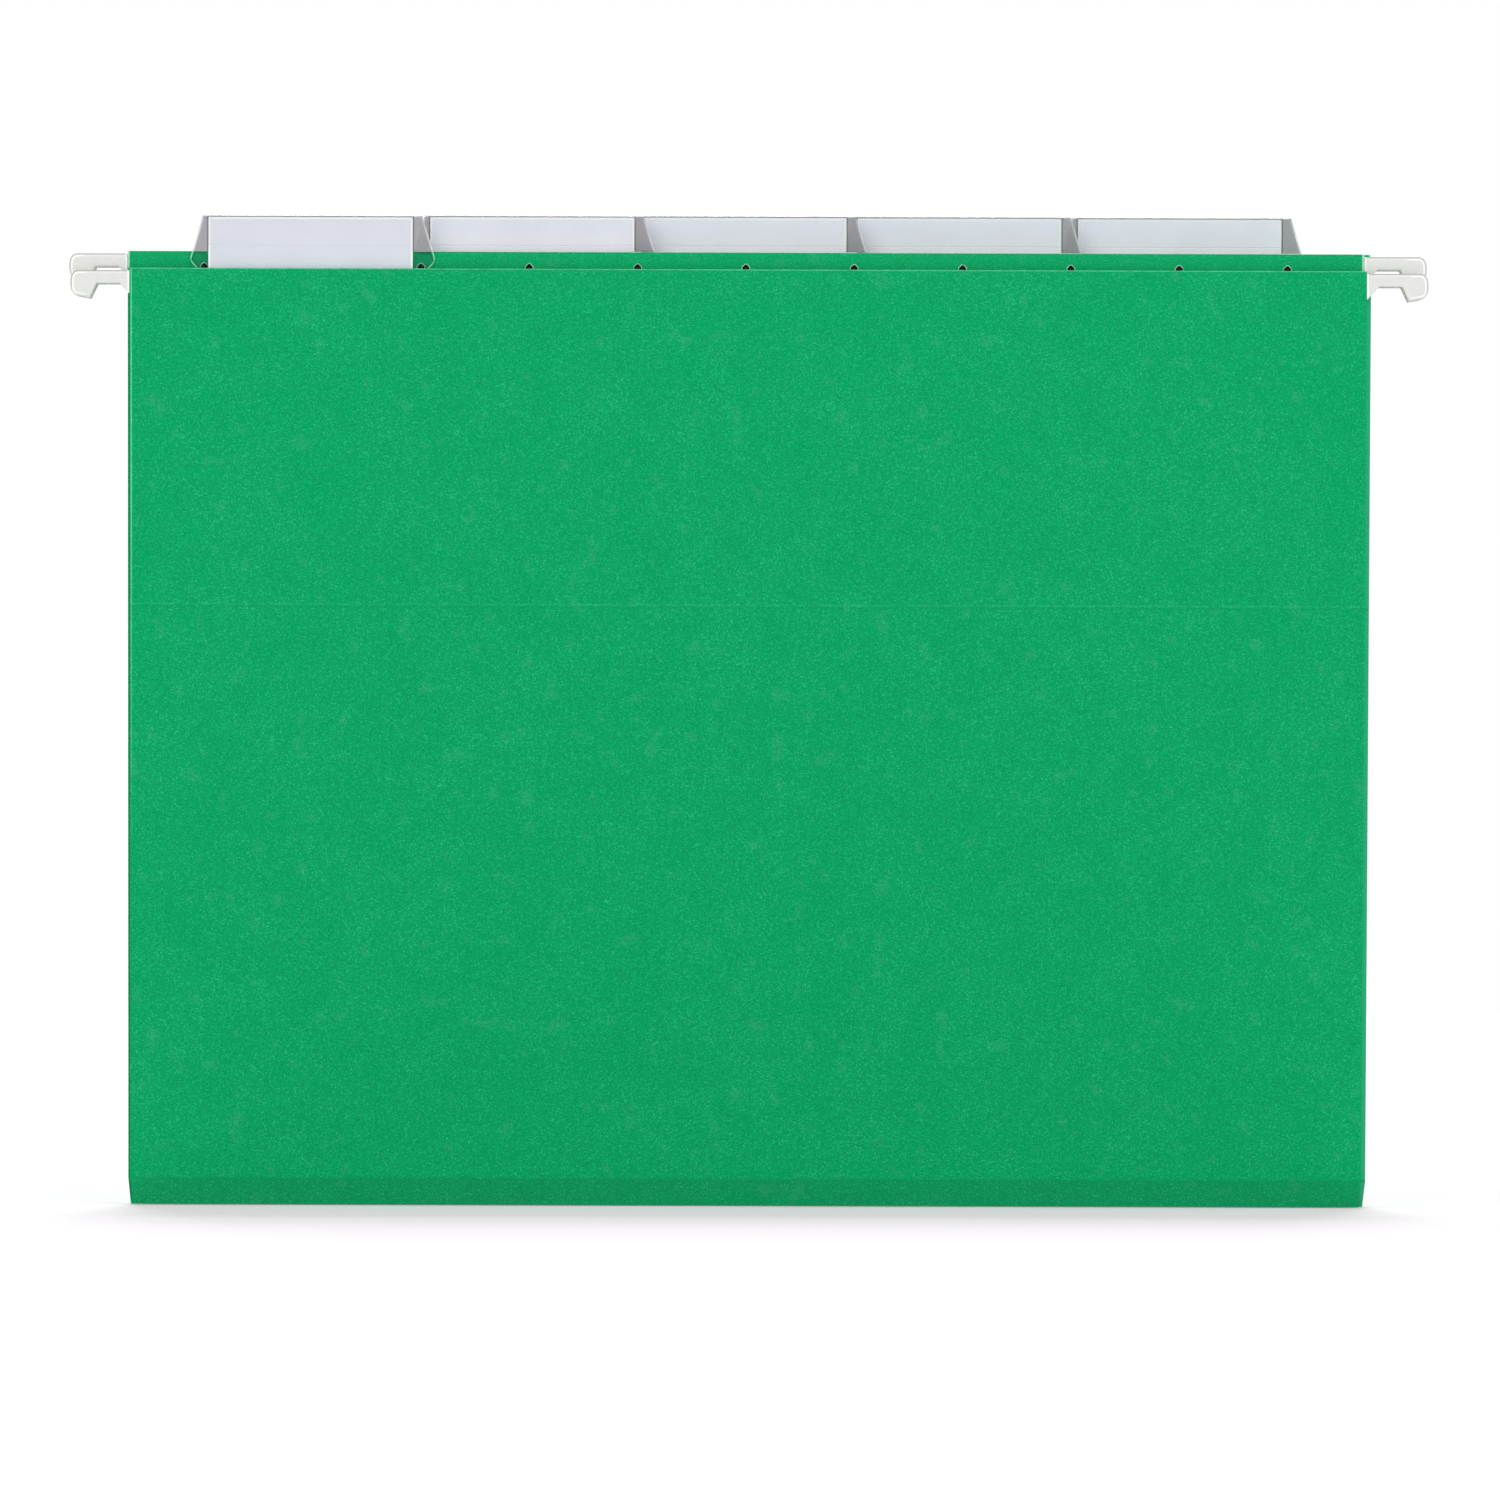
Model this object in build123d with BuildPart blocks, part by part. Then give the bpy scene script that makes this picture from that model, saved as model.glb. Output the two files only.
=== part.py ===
"""Set of hanging file folders nested one behind the other, each with its own tab position."""
import os

from build123d import *

os.makedirs("parts", exist_ok=True)

# All sizes are in millimetres. While a folder is drawn, X runs along its rods, Y runs from its
# front panel to its back panel with zero at the bottom fold, and Z rises from that fold.

# Card sheet
panel_width = 298.45
front_height = 226.0
back_rise = 4.1
card = 0.3
side_taper = 0.8
base_height = 6.4
base_taper = 0.7
crease_height = 144.7
crease_width = 0.5
crease_depth = 0.06
fold_gap = 0.05

# Hem that the sheet makes over each rod, and its inner flap
pocket_depth = 1.3
flap_height = 25.0
flap_trim = 0.15
slot_count = 11
slot_pitch = 26.14
slot_width = 1.7
slot_height = 13.2
slot_drop = 2.9
slot_corner = 0.65

# Steel rods and the plastic dipped over their hooks
rod_thickness = 0.7
rod_gap = 0.12
hook_drop = 0.65
hook_height = 6.55
hook_reach = 14.55
hook_corner_width = 1.7
hook_corner_height = 2.3
hook_toe_reach = 9.98
hook_toe_rise = 0.5
seat_drop = 3.07
seat_start = 2.74
seat_length = 5.58
seat_slope_width = 3.2
coat = 0.3
coat_gap = 0.05
rim_width = 0.75
rim_depth = 0.16
# a round corner drawn with three straight sides
corner_shares = ((1, 0), (0.5, 0.134), (0.134, 0.5), (0, 1))

# Clear tab
tab_gap = 0.05
tab_back_gap = 0.29
tab_ply = 0.25
tab_rise = 12.7
tab_top_width = 52.9
tab_flare = 3.3
tab_wide_rise = 1.9
tab_wide_radius = 2.0
tab_top_radius = 0.5
shoulder_drop = 1.9
skirt_drop = 16.2
leaf_drop = 2.2
weld_height = 0.6
slit_width = 0.8
slit_drop = 3.1
mouth_width = 3.2
mouth_height = 2.2
tongue_ply = 0.2
tongue_gap = 0.13
tongue_neck = 0.5
tongue_tail = 2.6
tongue_height = 6.5
tongue_drop = 7.5
rib_count = 3
rib_pitch = 0.8
rib_width = 0.3
rib_height = 3.2
rib_proud = 0.12
rib_drop = 5.6
rib_group_count = 3
rib_group_pitch = 7.0
rib_group_start = 6.0

# Paper insert in the tab
insert_length = 49.3
insert_height = 13.8
insert_thickness = 0.2
insert_slack = 0.08
insert_shift = -0.5
insert_lift = 0.15
insert_score_width = 0.4
insert_score_depth = 0.05

# How the folders lie in the set: each half of a sheet sits a little to one side on its rod, the
# front rods hang a little to one side of the back rods, and the tabs are pushed to one side in
# their slots, some not quite home
folder_gap = 0.3
front_sheet_shifts = (0.05, 1.23, 0.19, -0.1, 1.0)
back_sheet_shifts = (-0.5, 1.25, 0.2, -0.3, 1.4)
front_rod_shift = 0.36
tab_shift = -0.55
tab_lifts = (0.0, 0.2, 0.35, 0.45, 0.5)
slots_per_tab = 2

# Reach of cutting shapes beyond the faces they cut
overrun = 0.3

# Depths and heights that follow from the sizes above
hem_depth = pocket_depth + 2 * card
hem_radius = hem_depth / 2
sleeve_room = insert_thickness + 2 * insert_slack
tab_depth = 2 * tab_ply + sleeve_room
half_depth = hem_depth + (tab_gap + tab_depth + tab_back_gap) / 2
folder_pitch = 2 * half_depth + folder_gap
back_height = front_height + back_rise
rod_y = half_depth - card - rod_gap - rod_thickness / 2
seat_height = back_height - hook_drop - seat_drop
flap_face = half_depth - hem_depth
tab_top = front_height + tab_rise
tab_wide_width = tab_top_width + 2 * tab_flare
tab_face = tab_gap - flap_face
skirt_half = slot_pitch + tongue_neck / 2


def folded_panel(height):
    """One half of the card sheet: base strip, panel, hem over the rod and slotted inner flap."""
    with BuildPart() as sheet:
        with BuildSketch(Plane.YZ):
            with BuildLine():
                Polyline(
                    (0, 0),
                    (-half_depth, base_height),
                    (-half_depth, height - hem_radius),
                )
                ThreePointArc(
                    (-half_depth, height - hem_radius),
                    (-half_depth + hem_radius, height),
                    (-flap_face, height - hem_radius),
                )
                Line((-flap_face, height - hem_radius), (-flap_face, height - flap_height))
                offset(amount=card, side=Side.RIGHT, kind=Kind.INTERSECTION, closed=True)
            make_face()
        extrude(amount=panel_width / 2, both=True)

        # the sides draw in a little towards the bottom fold
        with BuildSketch(Plane.XZ):
            with BuildLine():
                Polyline(
                    (0, 0),
                    (panel_width / 2 - side_taper - base_taper, 0),
                    (panel_width / 2 - side_taper, base_height),
                    (panel_width / 2, height),
                    (0, height),
                )
                mirror(about=Plane.YZ)
            make_face()
        extrude(amount=2 * half_depth, both=True, mode=Mode.INTERSECT)

        # tab slots through the inner flap, and its shorter ends
        with BuildSketch(Plane.XZ.offset(flap_face - overrun)) as openings:
            with Locations((0, height - slot_drop - slot_height / 2)):
                with GridLocations(slot_pitch, 0, slot_count, 1):
                    Rectangle(slot_width, slot_height)
            chamfer(openings.vertices(), length=slot_corner)
            with Locations((0, height - hem_radius - flap_height / 2)):
                with GridLocations(panel_width, 0, 2, 1):
                    Rectangle(2 * flap_trim, flap_height)
        extrude(amount=card + 2 * overrun, mode=Mode.SUBTRACT)

        # pressed crease across the outer face
        with BuildSketch(Plane.YZ):
            with BuildLine():
                Polyline(
                    (-half_depth - crease_depth, crease_height),
                    (-half_depth, crease_height + crease_width / 2),
                    (-half_depth + crease_depth, crease_height),
                    (-half_depth, crease_height - crease_width / 2),
                    close=True,
                )
            make_face()
        extrude(amount=panel_width, both=True, mode=Mode.SUBTRACT)

        # the sheet ends just short of the fold line, where the two halves hinge
        split(bisect_by=Plane.XZ.offset(fold_gap), keep=Keep.TOP)
    return sheet.part


def hooked_outline(height):
    """Front view of a coated rod, with round corners at the tips of its two hooks."""
    top = height - hook_drop
    edge = panel_width / 2
    tip = edge + hook_reach
    tip_foot = top - hook_height + hook_toe_rise
    upper_corner = [
        (tip - hook_corner_width * across, top - hook_corner_height * along)
        for across, along in corner_shares
    ]
    lower_corner = [
        (tip - hook_corner_width * across, tip_foot + hook_corner_height * along)
        for across, along in reversed(corner_shares)
    ]
    with BuildSketch() as outline:
        with BuildLine():
            Polyline(
                (0, top),
                *upper_corner,
                *lower_corner,
                (edge + hook_toe_reach, top - hook_height),
                (edge + seat_start + seat_length, top - seat_drop),
                (edge + seat_start, top - seat_drop),
                (edge + seat_start - seat_slope_width, top - hook_height),
                (0, top - hook_height),
            )
            mirror(about=Plane.YZ)
        make_face()
    return outline.sketch


def steel_rod(height, depth):
    """Flat steel strip with a hook at each end, standing at the given depth."""
    outline = hooked_outline(height)
    with BuildPart() as rod:
        with BuildSketch(Plane.XZ.offset(-depth)):
            add(outline)
            offset(amount=-coat, kind=Kind.INTERSECTION, mode=Mode.REPLACE)
        extrude(amount=rod_thickness / 2, both=True)
    return rod.part


def hook_coats(height, depth, sheet_shift):
    """The plastic on both hooks of one rod, up to a sheet that lies to one side on it."""
    outline = hooked_outline(height)
    steel = steel_rod(height, depth)
    with BuildPart() as coats:
        with BuildSketch(Plane.XZ.offset(-depth)):
            add(outline)
        extrude(amount=rod_thickness / 2 + coat, both=True)
        # both faces slope off to a thin rim
        for side in (0, -1):
            face = coats.faces().filter_by(Axis.Y).sort_by(Axis.Y)[side]
            chamfer(face.edges(), length=rim_width, length2=rim_depth, reference=face)
        # nothing between the hooks, and hollow where the steel is
        with Locations((sheet_shift, depth, height)):
            Box(panel_width + 2 * coat_gap, 2 * half_depth, 2 * height, mode=Mode.SUBTRACT)
        add(steel, mode=Mode.SUBTRACT)
    return coats.part


front_panel = folded_panel(front_height)
tall_panel = folded_panel(back_height)
front_rod = steel_rod(front_height, -rod_y)
back_rod = steel_rod(back_height, rod_y)

with BuildPart() as back_panel:
    mirror(tall_panel, about=Plane.XZ)

with BuildPart() as tab:
    # clear strip folded over the insert, its near leaf running on down as the skirt
    with BuildSketch(Plane.YZ):
        with BuildLine():
            Line((tab_face, front_height - skirt_drop), (tab_face, tab_top - tab_depth / 2))
            ThreePointArc(
                (tab_face, tab_top - tab_depth / 2),
                (tab_face + tab_depth / 2, tab_top),
                (tab_face + tab_depth, tab_top - tab_depth / 2),
            )
            Line(
                (tab_face + tab_depth, tab_top - tab_depth / 2),
                (tab_face + tab_depth, front_height - leaf_drop),
            )
            offset(amount=tab_ply, side=Side.RIGHT, closed=True)
        make_face()
        # weld that joins the far leaf to the skirt under the insert
        with Locations((tab_face + tab_depth / 2, front_height - leaf_drop + weld_height / 2)):
            Rectangle(tab_depth, weld_height)
    extrude(amount=tab_wide_width, both=True)

    # flared front view of the sleeve and its skirt, which trims the strip's ends
    with BuildSketch(Plane.XZ):
        with BuildLine() as view:
            Polyline(
                (0, tab_top),
                (tab_top_width / 2, tab_top),
                (tab_wide_width / 2, front_height + tab_wide_rise),
                (skirt_half, front_height - shoulder_drop),
                (skirt_half, front_height - skirt_drop),
                (0, front_height - skirt_drop),
            )
            wide_corner = view.vertices().group_by(Axis.Y)[-2].sort_by(Axis.X)[-1]
            fillet(wide_corner, radius=tab_wide_radius)
            top_corner = view.vertices().group_by(Axis.Y)[-1].sort_by(Axis.X)[-1]
            fillet(top_corner, radius=tab_top_radius)
            mirror(about=Plane.YZ)
        make_face()
    extrude(amount=half_depth, both=True, mode=Mode.INTERSECT)

    # slit up the middle of the skirt, with a flared mouth
    with BuildSketch(Plane.XZ):
        with BuildLine():
            Polyline(
                (0, front_height - slit_drop),
                (slit_width / 2, front_height - slit_drop),
                (slit_width / 2, front_height - skirt_drop + mouth_height),
                (mouth_width / 2, front_height - skirt_drop),
                (0, front_height - skirt_drop),
            )
            mirror(about=Plane.YZ)
        make_face()
    extrude(amount=half_depth, both=True, mode=Mode.SUBTRACT)

    # tongues that pass through the outer slots and tuck behind the flap
    tongue_face = -flap_face - card - tongue_gap
    with BuildSketch(Plane.XY.offset(front_height - tongue_drop - tongue_height)):
        with BuildLine():
            Polyline(
                (skirt_half, tab_face),
                (skirt_half, tongue_face),
                (skirt_half + tongue_tail, tongue_face),
                (skirt_half + tongue_tail, tongue_face - tongue_ply),
                (skirt_half - tongue_neck, tongue_face - tongue_ply),
                (skirt_half - tongue_neck, tab_face),
                close=True,
            )
        make_face()
        mirror(about=Plane.YZ)
    extrude(amount=tongue_height)

    # groups of small upright ribs on the skirt
    rib_middle = rib_group_start + rib_group_pitch * (rib_group_count - 1) / 2
    with BuildSketch(Plane.XZ.offset(-tab_face - tab_ply)):
        with GridLocations(2 * rib_middle, 0, 2, 1):
            with GridLocations(rib_group_pitch, 0, rib_group_count, 1):
                with GridLocations(rib_pitch, 0, rib_count, 1):
                    with Locations((0, front_height - rib_drop)):
                        Rectangle(rib_width, rib_height)
    extrude(amount=-rib_proud)

with BuildPart() as insert:
    insert_foot = front_height - leaf_drop + weld_height + insert_lift
    insert_face = tab_face + tab_ply + insert_slack
    with BuildSketch(Plane.XZ.offset(-insert_face)):
        with Locations((insert_shift, insert_foot + insert_height / 2)):
            Rectangle(insert_length, insert_height)
    extrude(amount=-insert_thickness)
    # score along its middle
    with BuildSketch(Plane.YZ):
        with Locations((insert_face, insert_foot + insert_height / 2)):
            Polygon(
                (-insert_score_depth, 0),
                (0, insert_score_width / 2),
                (insert_score_depth, 0),
                (0, -insert_score_width / 2),
                align=None,
            )
    extrude(amount=panel_width, both=True, mode=Mode.SUBTRACT)

# Every folder is the same but for where it lies and the slots its tab stands in. The set is
# placed so that the rail seats of the first folder's back rod are at zero height and zero depth.
for number, (front_shift, back_shift) in enumerate(zip(front_sheet_shifts, back_sheet_shifts)):
    step = number - (len(front_sheet_shifts) - 1) / 2
    tab_spot = (front_shift + tab_shift + step * slots_per_tab * slot_pitch, tab_lifts[number])
    front_coats = hook_coats(front_height, -rod_y, front_shift - front_rod_shift)
    back_coats = hook_coats(back_height, rod_y, back_shift)
    pieces = {
        "front_panel": (front_panel, (front_shift, 0)),
        "back_panel": (back_panel.part, (back_shift, 0)),
        "front_rod": (front_rod, (front_rod_shift, 0)),
        "back_rod": (back_rod, (0, 0)),
        "front_hook_coats": (front_coats, (front_rod_shift, 0)),
        "back_hook_coats": (back_coats, (0, 0)),
        "tab": (tab.part, tab_spot),
        "insert": (insert.part, tab_spot),
    }
    for name, (piece, (shift, lift)) in pieces.items():
        with BuildPart() as placed:
            with Locations((shift, number * folder_pitch - rod_y, lift - seat_height)):
                add(piece)
        placed.part.label = f"folder_{number + 1}_{name}"
        export_step(placed.part, f"parts/{placed.part.label}.step")
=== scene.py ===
"""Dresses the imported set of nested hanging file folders: dyed card sheets, steel strip rods,
dipped hooks, clear tabs and paper inserts, on a plain pale floor."""

import math

import bpy
from bpy.props import FloatProperty, FloatVectorProperty, PointerProperty
from mathutils import Matrix, Vector


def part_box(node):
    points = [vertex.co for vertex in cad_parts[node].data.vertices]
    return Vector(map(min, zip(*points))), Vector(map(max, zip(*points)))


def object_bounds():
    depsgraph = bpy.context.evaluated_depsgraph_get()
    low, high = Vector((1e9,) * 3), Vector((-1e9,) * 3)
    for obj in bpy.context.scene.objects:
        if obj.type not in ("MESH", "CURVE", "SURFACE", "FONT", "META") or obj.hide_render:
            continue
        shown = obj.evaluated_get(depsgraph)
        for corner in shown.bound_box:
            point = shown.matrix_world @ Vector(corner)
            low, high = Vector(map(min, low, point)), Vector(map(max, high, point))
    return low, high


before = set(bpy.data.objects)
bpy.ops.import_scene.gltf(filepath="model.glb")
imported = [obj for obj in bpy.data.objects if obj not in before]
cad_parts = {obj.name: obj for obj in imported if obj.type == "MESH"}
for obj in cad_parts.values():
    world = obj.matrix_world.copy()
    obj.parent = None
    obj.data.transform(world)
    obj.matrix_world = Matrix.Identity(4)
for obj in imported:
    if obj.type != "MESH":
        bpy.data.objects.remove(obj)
cad_low, cad_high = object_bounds()

bl_info = {
    "name": "Hanging folder set",
    "version": (1, 0, 0),
    "blender": (4, 5, 0),
    "location": "3D View > Sidebar > Folders",
    "description": "Finishes and stage for a nested set of hanging file folders",
    "category": "Object",
}

MM = 0.001
FOLDERS = sorted({name.split("_")[1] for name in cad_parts})


def nodes_of(piece):
    """The frame's objects for one piece, from the front folder to the rear one."""
    return [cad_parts[f"folder_{number}_{piece}"] for number in FOLDERS]


def size_of(piece):
    """Width, depth and height of one piece of the front folder."""
    low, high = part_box(f"folder_{FOLDERS[0]}_{piece}")
    return high - low


def dress(objects, material):
    """Puts one material on every slot of the given objects."""
    for obj in objects:
        if not obj.material_slots:
            raise RuntimeError(f"{obj.name} has no material slot")
        for slot in obj.material_slots:
            slot.material = material


class Value:
    """A shader socket. Sums and products of it add Math nodes to its tree."""

    def __init__(self, shader, socket):
        self.shader = shader
        self.socket = socket

    def outlet(self, name):
        return Value(self.shader, self.socket.node.outputs[name])

    def math(self, operation, first, second=0.0):
        sockets = {0: first, 1: second}
        return self.shader.node("ShaderNodeMath", {"operation": operation}, sockets)

    def __add__(self, other):
        return self.math("ADD", self, other)

    __radd__ = __add__

    def __mul__(self, other):
        return self.math("MULTIPLY", self, other)

    __rmul__ = __mul__

    def __sub__(self, other):
        return self.math("SUBTRACT", self, other)

    def __rsub__(self, other):
        return self.math("SUBTRACT", other, self)

    def __truediv__(self, other):
        return self.math("DIVIDE", self, other)

    def __abs__(self):
        return self.math("ABSOLUTE", self)

    def least(self, other):
        return self.math("MINIMUM", self, other)

    def most(self, other):
        return self.math("MAXIMUM", self, other)

    def wrapped(self, span):
        """Distance to the nearest whole multiple of span, with its sign."""
        return self.shader.node(
            "ShaderNodeMath", {"operation": "WRAP"}, {0: self, 1: span / 2, 2: -span / 2}
        )


class Shader:
    """The nodes of one material or world."""

    def __init__(self, owner):
        owner.use_nodes = True
        self.tree = owner.node_tree
        self.tree.nodes.clear()

    def node(self, kind, settings=None, sockets=None, out=0):
        """Adds a node, sets it up, then fills its sockets with values or links."""
        made = self.tree.nodes.new(kind)
        for name, value in (settings or {}).items():
            setattr(made, name, value)
        for name, value in (sockets or {}).items():
            if isinstance(value, Value):
                self.tree.links.new(value.socket, made.inputs[name])
            else:
                made.inputs[name].default_value = value
        return Value(self, made.outputs[out]) if made.outputs else None

    def mix(self, factor, first, second):
        sockets = {0: factor, 6: rgba(first), 7: rgba(second)}
        return self.node("ShaderNodeMix", {"data_type": "RGBA"}, sockets, 2)

    def step(self, value, low, high):
        """Rises smoothly from 0 at low to 1 at high."""
        sockets = {"Value": value, "From Min": low, "From Max": high}
        return self.node("ShaderNodeMapRange", {"interpolation_type": "SMOOTHSTEP"}, sockets)

    def fall(self, value, low, high):
        """Falls smoothly from 1 at low to 0 at high."""
        return 1 - self.step(value, low, high)

    def noise(self, place, grain, detail=2.0, roughness=0.5):
        """Noise whose lumps are about one grain wide."""
        sockets = {"Vector": place, "Scale": 1 / grain, "Detail": detail, "Roughness": roughness}
        return self.node("ShaderNodeTexNoise", {}, sockets, "Fac")

    def stretched(self, place, factors):
        settings = {"operation": "MULTIPLY"}
        return self.node("ShaderNodeVectorMath", settings, {0: place, 1: factors})

    def parts(self, vector):
        """The X, Y and Z of a vector."""
        split = self.node("ShaderNodeSeparateXYZ", {}, {0: vector})
        return split, split.outlet("Y"), split.outlet("Z")

    def place(self, kind="Object"):
        """Where a point lies: in metres, or from 0 to 1 across the piece's box if Generated."""
        return self.node("ShaderNodeTexCoord", out=kind)

    def normal(self):
        """How squarely a face looks to the front or back, and how far it looks up."""
        _, along, lift = self.parts(self.node("ShaderNodeNewGeometry", out="True Normal"))
        return abs(along), lift

    def seen(self):
        """1 for what the camera sees, straight on or in metal and clear plastic."""
        path = self.node("ShaderNodeLightPath", out="Is Camera Ray")
        return path.most(path.outlet("Is Glossy Ray")).most(path.outlet("Is Transmission Ray"))

    def bump(self, height, strength, distance):
        sockets = {"Strength": strength, "Distance": distance, "Height": height}
        return self.node("ShaderNodeBump", {}, sockets)

    def surface(self, sockets):
        skin = self.node("ShaderNodeBsdfPrincipled", {}, sockets)
        self.node("ShaderNodeOutputMaterial", {}, {"Surface": skin})


def rgba(colour):
    """A colour as a shader socket takes it."""
    return colour if isinstance(colour, Value) else (*colour, 1.0)


def new_material(name):
    material = bpy.data.materials.new(name)
    return material, Shader(material)


class CardLook(bpy.types.PropertyGroup):
    """Dyed card sheets."""

    dye: FloatVectorProperty(
        name="Dye", description="Colour of the card's face", subtype="COLOR",
        default=(0.0003, 0.388, 0.136),
    )
    edge_wear_and_highlight: FloatVectorProperty(
        name="Pale dye", description="Colour of cut edges and worn folds",
        subtype="COLOR", default=(0.15, 0.76, 0.43),
    )
    slot_rim: FloatVectorProperty(
        name="Slot rim", description="Colour of the torn fibres round a tab slot",
        subtype="COLOR", default=(0.55, 0.9, 0.7),
    )
    deep_fibre_and_shade: FloatVectorProperty(
        name="Deep fibre", description="Colour of the darkest fibres", subtype="COLOR",
        default=(0.0003, 0.308, 0.094),
    )
    pale_fibre_and_light: FloatVectorProperty(
        name="Pale fibre", description="Colour of the palest flecks", subtype="COLOR",
        default=(0.048, 0.65, 0.32),
    )
    base_tone: FloatVectorProperty(
        name="Base dust", description="Greyish tone rubbed into the base strip", subtype="COLOR",
        default=(0.04, 0.1, 0.13),
    )
    rub: FloatVectorProperty(
        name="Rub", description="Colour of the small rubbed spots", subtype="COLOR",
        default=(0.04, 0.42, 0.2),
    )
    fibre: FloatProperty(
        name="Fibre", description="Width of the card's fine fibre flecks",
        unit="LENGTH", default=0.34 * MM,
    )
    blotch: FloatProperty(
        name="Blotch", description="Width of the faint cloudy patches",
        unit="LENGTH", default=11 * MM,
    )
    spot: FloatProperty(
        name="Spot", description="Distance between the small rubbed spots",
        unit="LENGTH", default=5 * MM,
    )
    pale_line: FloatProperty(
        name="Worn edge", description="Width of the paler line along folds and cut edges",
        unit="LENGTH", default=0.3 * MM,
    )
    back_half_light: FloatProperty(
        name="Inner bloom", description="How much paler the back half is", subtype="FACTOR",
        default=0.04,
    )
    crease_rise: FloatProperty(
        name="Crease rise", description="Height of the pressed crease above the bottom fold",
        unit="LENGTH", default=144.7 * MM,
    )
    base_rise: FloatProperty(
        name="Base rise", description="Height of the base score above the bottom fold",
        unit="LENGTH", default=6.4 * MM,
    )
    side_taper: FloatProperty(
        name="Side taper", description="How far each side draws in from the hem to the base",
        unit="LENGTH", default=0.8 * MM,
    )
    slot_pitch: FloatProperty(
        name="Slot pitch", description="Distance between neighbouring tab slots",
        unit="LENGTH", default=26.14 * MM,
    )
    slot_width: FloatProperty(
        name="Slot width", description="Width of a tab slot", unit="LENGTH", default=1.7 * MM,
    )
    slot_height: FloatProperty(
        name="Slot height", description="Height of a tab slot", unit="LENGTH", default=13.2 * MM,
    )
    slot_drop: FloatProperty(
        name="Slot drop", description="Distance from the hem's top down to the slots",
        unit="LENGTH", default=2.9 * MM,
    )
    slot_corner: FloatProperty(
        name="Slot corner", description="Size of the slanted corners of a tab slot",
        unit="LENGTH", default=0.65 * MM,
    )


class HookLook(bpy.types.PropertyGroup):
    """Plastic dipped over the hooks."""

    milk: FloatVectorProperty(
        name="Milk", description="Colour of the dipped plastic", subtype="COLOR",
        default=(0.75, 0.755, 0.725),
    )
    rim: FloatVectorProperty(
        name="Rim", description="Colour of the thin plastic along the rims", subtype="COLOR",
        default=(0.97, 0.975, 0.96),
    )
    outline: FloatVectorProperty(
        name="Outline", description="Colour of the sharp outer edge", subtype="COLOR",
        default=(0.4, 0.4, 0.385),
    )
    rim_depth: FloatProperty(
        name="Rim depth", description="How far the faces slope back towards the outer edge",
        unit="LENGTH", default=0.16 * MM,
    )
    seam_highlight: FloatProperty(
        name="Bead", description="Width of the bright line where the plastic meets the sheet",
        unit="LENGTH", default=0.5 * MM,
    )
    tip: FloatProperty(
        name="Tip", description="Distance from the sheet where the hook's tip starts",
        unit="LENGTH", default=11.5 * MM,
    )
    ripple: FloatProperty(
        name="Ripple", description="Width of the ripples left by dipping", unit="LENGTH",
        default=2.2 * MM,
    )


class RodLook(bpy.types.PropertyGroup):
    """Steel strip rods."""

    steel: FloatVectorProperty(
        name="Steel", description="Colour of the bare strip", subtype="COLOR",
        default=(0.02, 0.02, 0.018),
    )
    film: FloatVectorProperty(
        name="Film", description="Colour of the plastic that covers the ends", subtype="COLOR",
        default=(0.92, 0.925, 0.91),
    )
    dip: FloatProperty(
        name="Dip", description="How far the plastic runs in from each end", unit="LENGTH",
        default=16.5 * MM,
    )
    grain: FloatProperty(
        name="Grain", description="Width of the rolling marks", unit="LENGTH",
        default=0.15 * MM,
    )


class TabLook(bpy.types.PropertyGroup):
    """Clear plastic tabs."""

    smoke: FloatVectorProperty(
        name="Smoke", description="Colour of the sleeve beside the insert", subtype="COLOR",
        default=(0.43, 0.42, 0.455),
    )
    tint: FloatVectorProperty(
        name="Tint", description="Colour of the clear skirt", subtype="COLOR",
        default=(0.0, 0.04, 0.045),
    )
    frost: FloatVectorProperty(
        name="Frost", description="Colour of cut edges, scratches and the weld",
        subtype="COLOR", default=(0.9, 0.93, 0.94),
    )
    edge_glow: FloatVectorProperty(
        name="Edge glow", description="Colour of the cut edges beside the card", subtype="COLOR",
        default=(0.35, 0.9, 0.62),
    )
    window_cover: FloatProperty(
        name="Window cover", description="How much one face covers over the insert",
        subtype="FACTOR", default=0.02,
    )
    margin_cover: FloatProperty(
        name="Margin cover", description="How much one face covers beside the insert",
        subtype="FACTOR", default=0.5,
    )
    skirt_cover: FloatProperty(
        name="Skirt cover", description="How much one face covers below the sleeve",
        subtype="FACTOR", default=0.05,
    )
    edge_cover: FloatProperty(
        name="Edge cover", description="How much one face covers along the slanted sides",
        subtype="FACTOR", default=0.3,
    )
    wall_cover: FloatProperty(
        name="Wall cover", description="How much a cut wall covers", subtype="FACTOR",
        default=0.6,
    )
    edge_line: FloatProperty(
        name="Edge line", description="Width of the bright line along the cut edges",
        unit="LENGTH", default=0.19 * MM,
    )
    flare: FloatProperty(
        name="Flare", description="How far each side leans out from the top to the widest place",
        unit="LENGTH", default=3.3 * MM,
    )
    wide_drop: FloatProperty(
        name="Wide drop", description="Distance from the top down to the widest place",
        unit="LENGTH", default=10.8 * MM,
    )
    tuck: FloatProperty(
        name="Tuck", description="How far each side draws in from the widest place to the skirt",
        unit="LENGTH", default=3.36 * MM,
    )
    tuck_drop: FloatProperty(
        name="Tuck drop", description="Height over which the sides draw in to the skirt",
        unit="LENGTH", default=3.8 * MM,
    )


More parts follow.
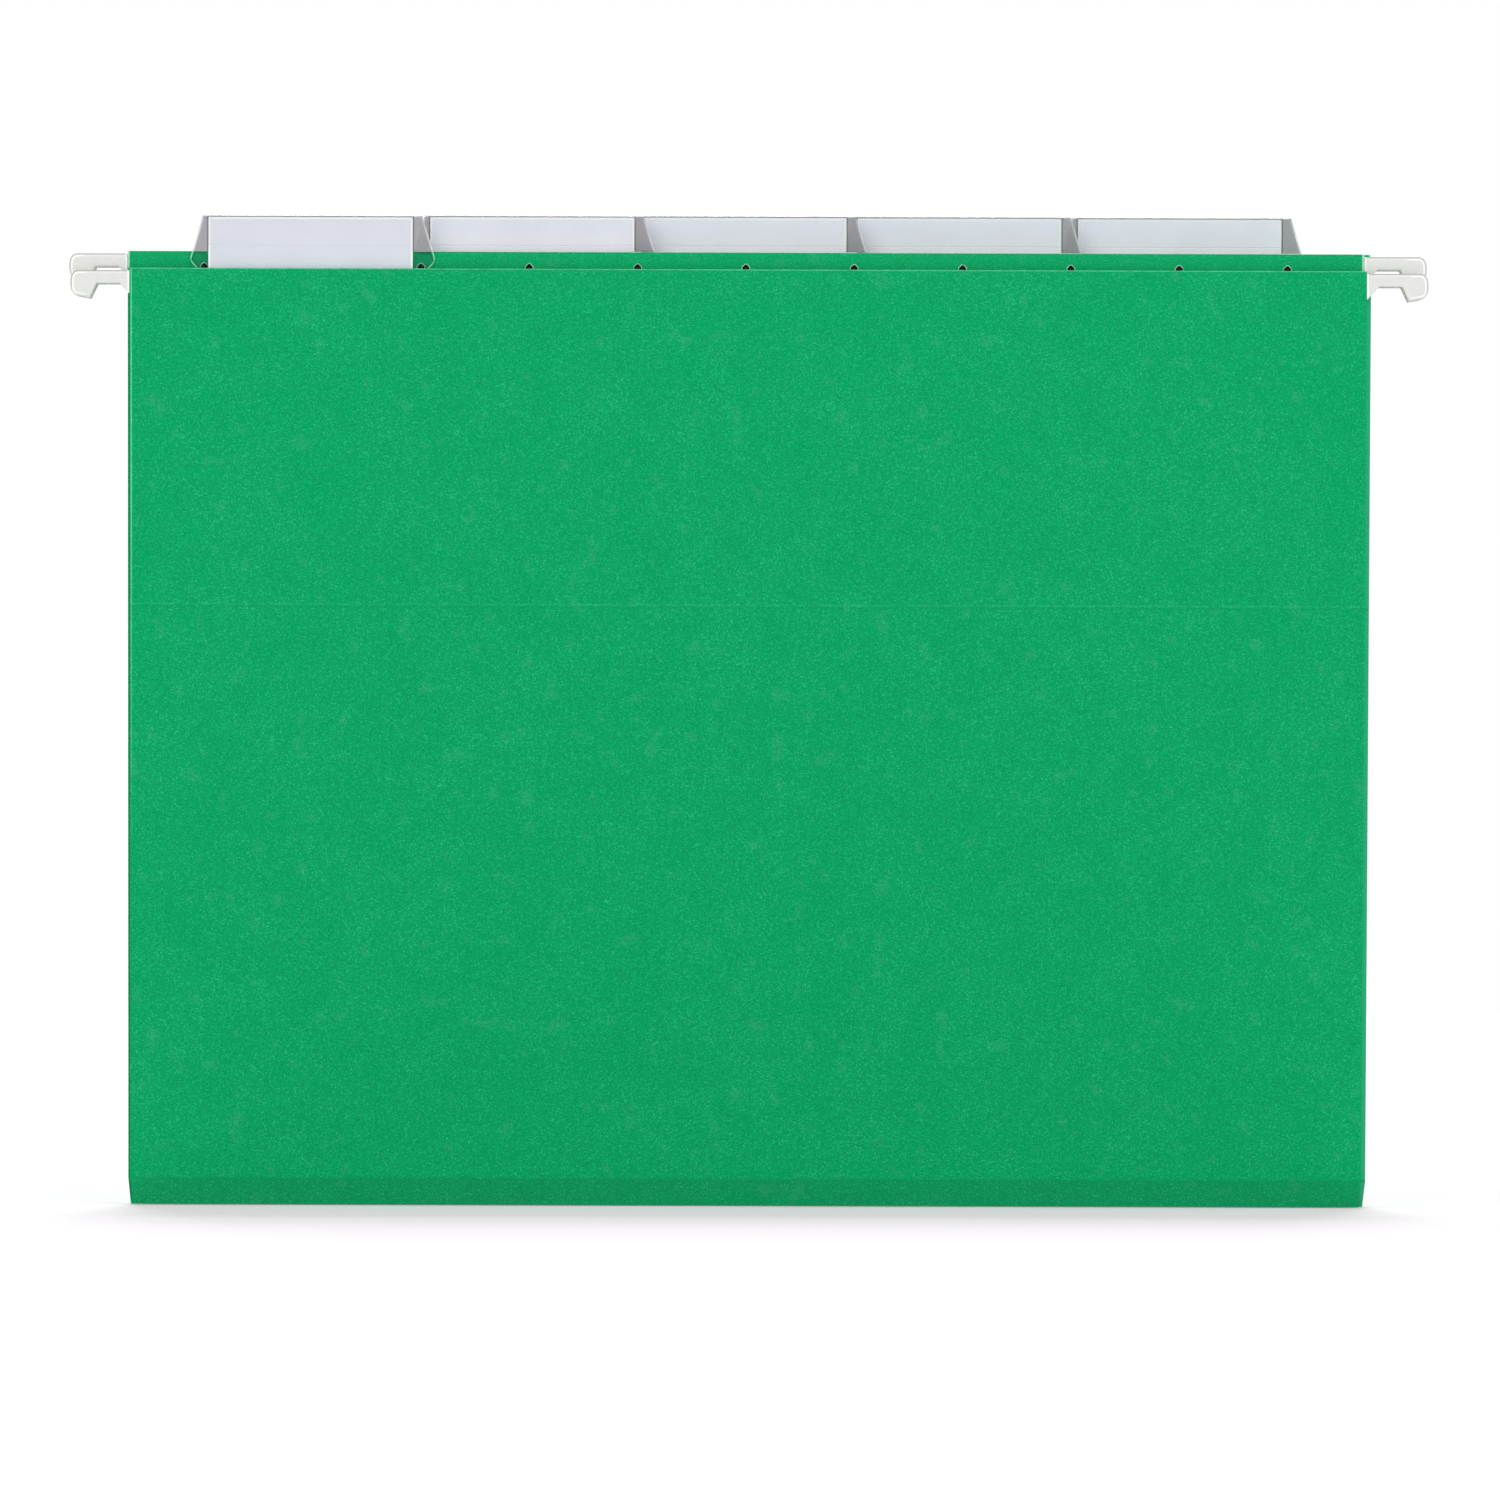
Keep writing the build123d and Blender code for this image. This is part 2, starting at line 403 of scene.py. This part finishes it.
class PaperLook(bpy.types.PropertyGroup):
    """Paper inserts."""

    paper: FloatVectorProperty(
        name="Paper", description="Colour of the front insert", subtype="COLOR",
        default=(0.71, 0.72, 0.795),
    )
    rear_paper_light: FloatVectorProperty(
        name="Rear paper", description="Colour of the rearmost insert", subtype="COLOR",
        default=(0.85, 0.84, 0.95),
    )
    low_paper_light: FloatVectorProperty(
        name="Shaded paper", description="Colour low down behind the folder in front",
        subtype="COLOR", default=(0.96, 0.915, 1.0),
    )
    cut_paper: FloatVectorProperty(
        name="Cut paper", description="Colour along the cut edges", subtype="COLOR",
        default=(0.97, 0.975, 0.98),
    )
    fibre: FloatProperty(
        name="Fibre", description="Width of the paper's fibres", unit="LENGTH",
        default=0.4 * MM,
    )


class StageLook(bpy.types.PropertyGroup):
    """Floor, light and camera."""

    floor: FloatVectorProperty(
        name="Floor", description="Colour of the floor", subtype="COLOR",
        default=(0.75, 0.75, 0.75),
    )
    floor_lift: FloatVectorProperty(
        name="Floor lift", description="Added brightness that makes the floor white in view",
        subtype="COLOR", default=(0.25, 0.215, 0.245),
    )
    floor_gap: FloatProperty(
        name="Floor gap", description="Distance from the lowest fold down to the floor",
        unit="LENGTH", default=0.2 * MM,
    )
    floor_size: FloatProperty(
        name="Floor size", description="Length of the floor's sides", unit="LENGTH",
        default=9.0,
    )
    sky: FloatProperty(
        name="Sky", description="Strength of the even light from all round", default=0.42,
    )
    front_lamp: FloatProperty(
        name="Front lamps", description="Strength of each of the two lamps in front",
        default=0.88,
    )
    front_aim: FloatVectorProperty(
        name="Front aim", description="Direction from the object to the right-hand front lamp",
        subtype="XYZ", default=(0.53, -0.92, 0.43),
    )
    front_spread: FloatProperty(
        name="Front spread", description="How wide each front lamp is, as seen from the object",
        subtype="ANGLE", default=math.radians(50),
    )
    back_lamp: FloatProperty(
        name="Back lamps", description="Light that each back lamp lays on the floor",
        default=0.53,
    )
    back_spread: FloatProperty(
        name="Back spread", description="How wide each back lamp is, as seen from the object",
        subtype="ANGLE", default=math.radians(14),
    )
    back_climb: FloatProperty(
        name="Back climb", description="Height of the middle back lamp above the horizon",
        subtype="ANGLE", default=math.radians(42),
    )
    lens: FloatProperty(
        name="Lens", description="Focal length in millimetres", default=600.0,
    )
    view_width: FloatProperty(
        name="View width", description="Width of the picture at the front panel",
        unit="LENGTH", default=361.8 * MM,
    )
    view_middle: FloatVectorProperty(
        name="View middle", description="Sideways place and height of the picture's middle",
        size=2, unit="LENGTH", default=(0.83 * MM, -116.32 * MM),
    )
    roll: FloatProperty(
        name="Roll", description="Turn of the camera about its line of sight",
        subtype="ANGLE", default=math.radians(-0.17),
    )


def from_ends(part, length):
    """Distance to the nearer end, where part runs from 0 to 1 over the length."""
    return (0.5 - abs(part - 0.5)) * length


def card_material(name, look, piece):
    """Dyed card with fine fibres, small rubbed spots, pressed lines and paler worn edges, with
    painted highlights along the left side and top fold, painted shade under the crease, and
    painted light on the back half and the rear sheets' right edges.
    """
    material, shader = new_material(name)
    size = size_of(piece)
    is_front = piece == "front_panel"
    place = shader.place()
    across, inward, up = shader.parts(shader.place("Generated"))
    across = (across - 0.5) * size.x
    inward = inward * size.y
    rise = up * size.z
    drop = size.z - rise
    facing, _ = shader.normal()

    # fine fibres, pale flecks a little denser in faint patches, and small rubbed spots
    fleck_share = 0.62
    patch_share = 0.02
    spot_share = 0.36
    fibres = shader.noise(place, look.fibre, 1)
    clouds = shader.noise(place, look.blotch, 4, 0.65)
    crowd = shader.step(clouds, 0.36, 0.66)
    flecks = shader.step(shader.noise(place, look.fibre * 1.1, 1), 0.53, 0.72)
    flecks = flecks * (0.56 + 0.26 * crowd)
    spots = shader.step(shader.noise(place, look.spot, 1), 0.61, 0.76)
    spots = spots * shader.step(fibres, 0.25, 0.6)
    # painted light: the back half of each sheet is painted paler than the front half
    pale = flecks * fleck_share + crowd * patch_share + (0.0 if is_front else look.back_half_light)
    colour = shader.mix(shader.step(fibres, 0.3, 0.7), look.deep_fibre_and_shade, look.dye)
    colour = shader.mix(pale, colour, look.pale_fibre_and_light)
    colour = shader.mix(spots * spot_share, colour, look.rub)

    # cut sides, the fold over the rod, worn and with a painted highlight, and a painted highlight
    # line down the left side
    cut_share = 0.6
    sliver_light_share = 0.9
    strip_share = 0.8
    pale_width = look.pale_line
    patchy = shader.step(shader.noise(place, look.fibre * 5, 3, 0.6), 0.3, 0.6)
    half_width = size.x / 2 - look.side_taper * (1 - up)
    wear_and_highlight = shader.fall(facing, 0.15, 0.4) * cut_share
    if is_front:
        fold_wear_and_highlight = shader.fall(drop, pale_width * 0.3, pale_width * 1.4) * (0.3 + 0.4 * patchy)
        from_left = half_width + across
        side_highlight = shader.step(from_left, pale_width * 0.6, pale_width * 1.2) * shader.step(up, 0.3, 0.8)
        side_highlight = side_highlight * shader.fall(from_left, pale_width * 1.4, pale_width * 2.1)
        wear_and_highlight = wear_and_highlight.most(fold_wear_and_highlight).most(side_highlight * (0.5 + 0.4 * patchy))
        # painted light: the rear sheets' right edges, which stand out past the front one and lie
        # in its shade, are painted pale
        _, depth, _ = shader.parts(place)
        first, second = (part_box(f"folder_{number}_{piece}") for number in FOLDERS[:2])
        sliver_light = shader.step(depth, first[1].y, second[0].y)
        sliver_light = sliver_light * shader.fall(half_width - across, pale_width * 4, pale_width * 6)
        colour = shader.mix(sliver_light * sliver_light_share, colour, look.pale_fibre_and_light)
    colour = shader.mix(wear_and_highlight, colour, look.edge_wear_and_highlight)
    if not is_front:
        # pale ends of the strip that shows above the front half
        strip = size.z - size_of("front_panel").z
        strip_end = shader.fall(half_width - abs(across), pale_width, pale_width * 2)
        strip_end = strip_end * shader.fall(drop, strip * 0.9, strip * 1.1)
        colour = shader.mix(strip_end * strip_share, colour, look.slot_rim)

    # torn rims of the tab slots, on the inner flap alone
    beside_slot = abs(across.wrapped(look.slot_pitch)) - look.slot_width / 2
    past_slot = abs(drop - look.slot_drop - look.slot_height / 2) - look.slot_height / 2
    off_corner = (beside_slot + past_slot + look.slot_corner) * math.sqrt(0.5)
    slot_rim = shader.fall(beside_slot.most(past_slot).most(off_corner), 0, pale_width)
    inner = inward if is_front else size.y - inward
    slot_rim = slot_rim * shader.step(inner, size.y * 0.4, size.y * 0.5)
    colour = shader.mix(slot_rim * (0.5 + 0.4 * patchy), colour, look.slot_rim)

    # pressed lines: a crease whose crest is paler, worn and with a painted highlight, with painted
    # shade along its lower side, and the base score
    crest_share = 0.2
    dip_share = 0.3
    score_share = 0.4
    base_tone_share = 0.07
    hair = 0.1 * MM
    above_crease = rise - look.crease_rise
    crest = shader.fall(abs(above_crease - hair), hair, 0.35 * MM)
    colour = shader.mix(crest * patchy * crest_share, colour, look.pale_fibre_and_light)
    dip = shader.fall(abs(above_crease + 0.45 * MM), 0.15 * MM, 0.5 * MM)
    score = shader.fall(abs(rise - look.base_rise), hair, 0.5 * MM)
    # the base strip below the score is painted a little darker and greyer
    base = shader.fall(rise, look.base_rise - hair, look.base_rise + hair)
    colour = shader.mix(base * base_tone_share, colour, look.base_tone)
    pressed_and_shade = dip * dip_share + score * score_share
    colour = shader.mix(pressed_and_shade, colour, look.deep_fibre_and_shade)

    height = fibres + flecks * 0.6 - pressed_and_shade * 0.75
    shader.surface({
        "Base Color": colour,
        "Roughness": 0.72 + 0.2 * fibres,
        "Specular IOR Level": 0.08,
        "Normal": shader.bump(height, 0.35, 0.04 * MM),
    })
    return material


def steel_material(look):
    """Dark strip steel with rolling marks and dull patches, white with plastic near its ends."""
    material, shader = new_material("strip_steel")
    size = size_of("front_rod")
    along_rolling = (0.02, 1.0, 1.0)
    deep = [0.55 * part for part in look.steel]
    place = shader.place()
    across, _, _ = shader.parts(shader.place("Generated"))
    bare = shader.step(from_ends(across, size.x), look.dip * 0.97, look.dip)
    marks = shader.noise(shader.stretched(place, along_rolling), look.grain, 3, 0.6)
    dull = shader.noise(place, look.grain * 60, 3, 0.6)
    colour = shader.mix(shader.step(marks, 0.3, 0.7), deep, look.steel)
    colour = shader.mix(shader.step(dull, 0.45, 0.75) * 0.4, colour, deep)
    shader.surface({
        "Base Color": shader.mix(bare, look.film, colour),
        "Metallic": bare,
        "Roughness": 0.3 + 0.25 * dull + 0.1 * marks,
        "Normal": shader.bump(marks, 0.2, 0.02 * MM),
    })
    return material


def hook_material(look, half):
    """Milky dipped plastic with fine specks, painted highlights on the sloping rims, the walls and
    the seam with the sheet, and a painted shade line along the outer edge.
    """
    material, shader = new_material(f"dipped_plastic_{half}")
    size = size_of(f"{half}_hook_coats")
    sheet_low, sheet_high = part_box(f"folder_{FOLDERS[0]}_{half}_panel")
    place = shader.place()
    across, _, _ = shader.parts(place)
    _, through, up = shader.parts(shader.place("Generated"))
    depth = from_ends(through, size.y)
    facing, lift = shader.normal()

    # painted highlight on the sloping rim, painted shade on the sharp edge outside it, and painted
    # light on the walls through the plastic
    rim_depth = look.rim_depth
    slope = shader.step(facing, 0.5, 0.9) * shader.fall(facing, 0.982, 0.996)
    rim = slope * shader.fall(depth, rim_depth * 0.3, rim_depth * 0.6)
    edge = shader.step(depth, rim_depth * 0.6, rim_depth * 0.75)
    edge = edge * shader.fall(depth, rim_depth * 1.2, rim_depth * 2)
    wall = shader.fall(facing, 0.3, 0.6)

    # the painted rim highlight and edge shade show most at the tip, the edge shade also along the
    # top and less where it faces down, and a painted highlight runs where the plastic meets the
    # sheet
    shank_rim = 0.2
    shank_edge = 0.15
    under_edge = 0.25
    sheet_middle = (sheet_low.x + sheet_high.x) / 2
    from_sheet = abs(across - sheet_middle) - (sheet_high.x - sheet_low.x) / 2
    seam_highlight = shader.fall(abs(from_sheet), look.seam_highlight * 0.8, look.seam_highlight * 1.2)
    tip = shader.step(from_sheet, look.tip * 0.85, look.tip)
    top = shader.step(up, 0.9, 0.95)
    rim = (rim * (shank_rim + (1 - shank_rim) * tip)).most(wall)
    edge = edge * (shank_edge + (1 - shank_edge) * tip.most(top))
    edge = edge * (under_edge + (1 - under_edge) * shader.step(lift, -0.1, 0.0))

    thick = [0.97 * part for part in look.milk]
    ripple = shader.noise(place, look.ripple, 3)
    specks = shader.noise(place, look.ripple * 0.08, 2, 0.6)
    colour = shader.mix(shader.step(ripple, 0.35, 0.7), look.milk, thick)
    colour = shader.mix(shader.step(specks, 0.6, 0.8) * 0.1, colour, look.rim)
    colour = shader.mix(edge, colour, look.outline)
    shader.surface({
        "Base Color": shader.mix(rim.most(seam_highlight), colour, look.rim),
        "Roughness": 0.36 + 0.12 * ripple,
        "Normal": shader.bump(ripple + 0.2 * specks, 0.1, 0.05 * MM),
    })
    return material


def tab_material(look):
    """Clear sheet plastic: nearly unseen over the insert, smoky beside it, white where cut, with a
    painted shadow line round the insert and a painted green glow along the cut edges beside the
    card.
    """
    material, shader = new_material("clear_tab")
    size = size_of("tab")
    low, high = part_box(f"folder_{FOLDERS[0]}_tab")
    _, card_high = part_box(f"folder_{FOLDERS[0]}_back_panel")
    paper_low, paper_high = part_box(f"folder_{FOLDERS[0]}_insert")
    place = shader.place()
    across, _, up = shader.parts(shader.place("Generated"))
    across = across * size.x + low.x
    rise = up * size.z + low.z
    drop = (1 - up) * size.z
    facing, _ = shader.normal()
    cut_wall = shader.fall(facing, 0.2, 0.6)

    # over the insert, and a painted shadow line round it where the plies close
    soft = 0.05 * MM
    middle = (paper_low.x + paper_high.x) / 2
    beside = abs(across - middle) - (paper_high.x - paper_low.x) / 2
    above = (rise - paper_high.z).most(paper_low.z - rise)
    outside = beside.most(above)
    window = shader.fall(outside, -soft, soft)
    closing_shadow = shader.fall(outside, 0.15 * MM, 0.5 * MM) * (1 - window)

    # bright line along the slanted sides, faint near the top
    from_middle = abs(across - (low.x + high.x) / 2)
    lean = size.x / 2 - look.flare * (1 - drop / look.wide_drop)
    tuck = size.x / 2 - look.tuck * (drop - look.wide_drop) / look.tuck_drop
    margin = lean.least(tuck) - from_middle
    edge = shader.fall(margin, look.edge_line * 0.5, look.edge_line * 1.2)
    edge = edge * shader.step(drop, 0.2 * MM, 1 * MM)
    edge = edge * (0.4 + 0.6 * shader.step(drop, 1 * MM, 6 * MM))

    # upright scratches, a soft haze, and how much of what lies behind one face hides
    upright = (1.0, 1.0, 0.15)
    scuffs = shader.noise(shader.stretched(place, upright), 0.5 * MM, 4, 0.65)
    scratches = shader.step(scuffs, 0.66, 0.78)
    haze = shader.noise(place, 9 * MM)
    sleeve = shader.step(rise - card_high.z, -0.1 * MM, 0.15 * MM)
    cover = look.skirt_cover + (look.margin_cover - look.skirt_cover) * sleeve
    cover = cover * (0.9 + 0.2 * haze) + 0.12 * closing_shadow * sleeve
    cover = cover + (look.window_cover - cover) * window + 0.03 * scratches
    cover = cover + (look.edge_cover - cover) * edge
    cover = cover + (look.wall_cover - cover) * cut_wall

    shadow_smoke = [0.2 * part for part in look.smoke]
    colour = shader.mix(sleeve, look.tint, look.smoke)
    colour = shader.mix(closing_shadow * 0.75, colour, shadow_smoke)
    colour = shader.mix(window.most(scratches * 0.3), colour, look.frost)
    # painted light: below the sleeve the cut edges take a green glow piped from the card
    bright = shader.mix(sleeve, look.edge_glow, look.frost)
    colour = shader.mix(cut_wall.most(edge), colour, bright)
    shader.surface({
        "Base Color": colour,
        "Roughness": 0.08 + 0.25 * scratches + 0.3 * cut_wall,
        "IOR": 1.49,
        "Alpha": cover,
        "Normal": shader.bump(haze, 0.05, 0.3 * MM),
    })
    return material


def paper_material(look):
    """Blue-white paper with fibres, a soft mottle, a score and a brighter cut edge, painted
    lighter on the rear inserts to offset their shade.
    """
    material, shader = new_material("insert_paper")
    size = size_of("insert")
    black = (0, 0, 0)
    grey_share = 0.05
    score_share = 0.03
    place = shader.place()
    across, _, up = shader.parts(shader.place("Generated"))
    _, depth, _ = shader.parts(place)
    from_edge = from_ends(across, size.x).least(from_ends(up, size.z))
    rim = shader.fall(from_edge, 0.25 * MM, 0.6 * MM)
    fibres = shader.noise(place, look.fibre, 4, 0.7)
    mottle = shader.noise(place, look.fibre * 22)

    # painted light: paler towards the rear, and paler still low down where the folder in front
    # shades the rear ones, to offset that shade
    front, second, rear = (
        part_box(f"folder_{FOLDERS[row]}_insert")[0].y for row in (0, 1, -1)
    )
    paper = shader.mix((depth - front) / (rear - front), look.paper, look.rear_paper_light)
    shaded = shader.step(depth, front + size.y, second) * shader.fall(up, 0.25, 0.85)
    paper = shader.mix(shaded, paper, look.low_paper_light)

    grey = shader.step(fibres * 0.6 + mottle * 0.4, 0.65, 0.35)
    colour = shader.mix(grey * grey_share, paper, black)
    score = shader.fall(abs(up - 0.5) * size.z, 0.1 * MM, 0.3 * MM)
    colour = shader.mix(score * score_share, colour, black)
    shader.surface({
        "Base Color": shader.mix(rim, colour, look.cut_paper),
        "Roughness": 0.7 + 0.2 * fibres,
        "Specular IOR Level": 0.25,
        "Normal": shader.bump(fibres, 0.2, 0.02 * MM),
    })
    return material


class FOLDERS_OT_card(bpy.types.Operator):
    """Finish the front and back halves of every card sheet"""

    bl_idname = "folders.card"
    bl_label = "Card sheets"

    def execute(self, context):
        look = context.scene.card_look
        for piece in ("front_panel", "back_panel"):
            dress(nodes_of(piece), card_material(f"dyed_card_{piece}", look, piece))
        return {"FINISHED"}


class FOLDERS_OT_rods(bpy.types.Operator):
    """Finish the steel strip rods"""

    bl_idname = "folders.rods"
    bl_label = "Steel rods"

    def execute(self, context):
        dress(nodes_of("front_rod") + nodes_of("back_rod"), steel_material(context.scene.rod_look))
        return {"FINISHED"}


class FOLDERS_OT_hooks(bpy.types.Operator):
    """Finish the plastic dipped over the hooks"""

    bl_idname = "folders.hooks"
    bl_label = "Dipped hooks"

    def execute(self, context):
        for half in ("front", "back"):
            dress(nodes_of(f"{half}_hook_coats"), hook_material(context.scene.hook_look, half))
        return {"FINISHED"}


class FOLDERS_OT_tabs(bpy.types.Operator):
    """Finish the clear tabs"""

    bl_idname = "folders.tabs"
    bl_label = "Clear tabs"

    def execute(self, context):
        dress(nodes_of("tab"), tab_material(context.scene.tab_look))
        return {"FINISHED"}


class FOLDERS_OT_inserts(bpy.types.Operator):
    """Finish the paper inserts"""

    bl_idname = "folders.inserts"
    bl_label = "Paper inserts"

    def execute(self, context):
        dress(nodes_of("insert"), paper_material(context.scene.paper_look))
        return {"FINISHED"}


class FOLDERS_OT_stage(bpy.types.Operator):
    """Lay the floor, set the lamps and the even light, and place the camera"""

    bl_idname = "folders.stage"
    bl_label = "Stage"

    def execute(self, context):
        look = context.scene.stage_look
        self.floor(context, look)
        self.sky(context, look)
        right, back, up = look.front_aim
        for side in (-1, 1):
            direction = (side * right, back, up)
            self.lamp(context, look.front_lamp, look.front_spread, direction)
        # a tall narrow row of lamps behind, which lays the soft shadow in front
        for row in (-1, 0, 1):
            climb = look.back_climb + row * look.back_spread
            direction = (0.0, math.cos(climb), math.sin(climb))
            strength = look.back_lamp / math.sin(climb)
            self.lamp(context, strength, look.back_spread, direction)
        self.camera(context, look)
        context.scene.view_settings.view_transform = "Standard"
        return {"FINISHED"}

    def floor(self, context, look):
        half = look.floor_size / 2
        mesh = bpy.data.meshes.new("floor")
        corners = [(-half, -half, 0), (half, -half, 0), (half, half, 0), (-half, half, 0)]
        mesh.from_pydata(corners, [], [(0, 1, 2, 3)])
        floor = bpy.data.objects.new("floor", mesh)
        floor.location.z = cad_low.z - look.floor_gap
        context.scene.collection.objects.link(floor)
        material, shader = new_material("floor_paper")
        shader.surface({
            "Base Color": rgba(look.floor),
            "Roughness": 1.0,
            "Specular IOR Level": 0.0,
            "Emission Color": shader.mix(shader.seen(), (0, 0, 0), look.floor_lift),
            "Emission Strength": 1.0,
        })
        mesh.materials.append(material)

    def sky(self, context, look):
        world = bpy.data.worlds.new("even_light")
        shader = Shader(world)
        strength = look.sky + (1 - look.sky) * shader.seen()
        sockets = {"Color": rgba((1, 1, 1)), "Strength": strength}
        light = shader.node("ShaderNodeBackground", {}, sockets)
        shader.node("ShaderNodeOutputWorld", {}, {"Surface": light})
        context.scene.world = world

    def lamp(self, context, strength, spread, direction):
        data = bpy.data.lights.new("soft_lamp", "SUN")
        data.energy = strength
        data.angle = spread
        lamp = bpy.data.objects.new("soft_lamp", data)
        lamp.rotation_euler = Vector(direction).to_track_quat("Z", "Y").to_euler()
        context.scene.collection.objects.link(lamp)

    def camera(self, context, look):
        data = bpy.data.cameras.new("camera")
        data.lens = look.lens
        distance = look.view_width * look.lens / data.sensor_width
        data.clip_end = distance * 3
        camera = bpy.data.objects.new("camera", data)
        across, height = look.view_middle
        spot = Matrix.Translation((across, cad_low.y - distance, height))
        level = Matrix.Rotation(math.radians(90), 4, "X")
        camera.matrix_world = spot @ Matrix.Rotation(look.roll, 4, "Y") @ level
        context.scene.collection.objects.link(camera)
        context.scene.camera = camera


class FOLDERS_PT_sidebar(bpy.types.Panel):
    """Buttons and settings of the folder set"""

    bl_idname = "FOLDERS_PT_sidebar"
    bl_label = "Folder set"
    bl_space_type = "VIEW_3D"
    bl_region_type = "UI"
    bl_category = "Folders"

    def draw(self, context):
        for operator, look in STEPS:
            box = self.layout.box()
            box.operator(operator.bl_idname)
            group = getattr(context.scene, look)
            for name in group.__annotations__:
                box.prop(group, name)


LOOKS = {
    "card_look": CardLook,
    "rod_look": RodLook,
    "hook_look": HookLook,
    "tab_look": TabLook,
    "paper_look": PaperLook,
    "stage_look": StageLook,
}
STEPS = (
    (FOLDERS_OT_card, "card_look"),
    (FOLDERS_OT_rods, "rod_look"),
    (FOLDERS_OT_hooks, "hook_look"),
    (FOLDERS_OT_tabs, "tab_look"),
    (FOLDERS_OT_inserts, "paper_look"),
    (FOLDERS_OT_stage, "stage_look"),
)


def register():
    for name, look in LOOKS.items():
        bpy.utils.register_class(look)
        setattr(bpy.types.Scene, name, PointerProperty(type=look))
    for operator, _ in STEPS:
        bpy.utils.register_class(operator)
    bpy.utils.register_class(FOLDERS_PT_sidebar)


def unregister():
    bpy.utils.unregister_class(FOLDERS_PT_sidebar)
    for operator, _ in reversed(STEPS):
        bpy.utils.unregister_class(operator)
    for name, look in reversed(LOOKS.items()):
        delattr(bpy.types.Scene, name)
        bpy.utils.unregister_class(look)


def main():
    register()
    bpy.ops.folders.card()
    bpy.ops.folders.rods()
    bpy.ops.folders.hooks()
    bpy.ops.folders.tabs()
    bpy.ops.folders.inserts()
    bpy.ops.folders.stage()


if __name__ == "__main__":
    main()
